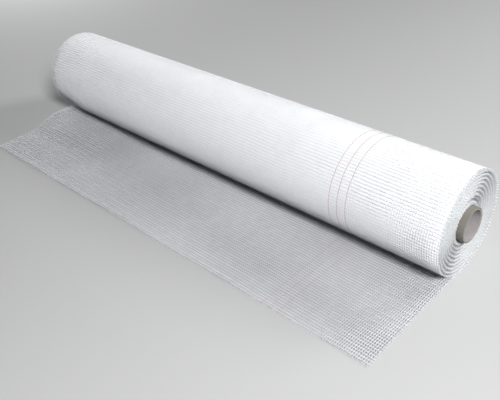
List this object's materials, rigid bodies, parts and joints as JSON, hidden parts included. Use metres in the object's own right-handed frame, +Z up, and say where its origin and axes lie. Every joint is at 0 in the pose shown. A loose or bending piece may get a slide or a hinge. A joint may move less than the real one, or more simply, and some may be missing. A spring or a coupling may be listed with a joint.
{
  "type": "roll of fiberglass mesh",
  "caption": "Roll of open-weave glass fibre mesh wound on a cardboard core, lying on its side with a short free length laid out flat in front of it.",
  "frame": {"origin": "on the floor that the roll lies on, under the middle of the outline of the roll and its free length", "axes": "+X along the roll to its near end, +Y from the free length's cut edge to the back of the roll, +Z up"},
  "size_m": [1.012, 0.345, 0.176],
  "materials": {
    "glass_mesh": "white coated glass yarn, open plain weave, satin",
    "core_cardboard": "spiral-wound grey-brown board, matt"
  },
  "bodies": {
    "root": {"mesh_web": "glass_mesh", "core_tube": "core_cardboard"}
  },
  "joints": []
}
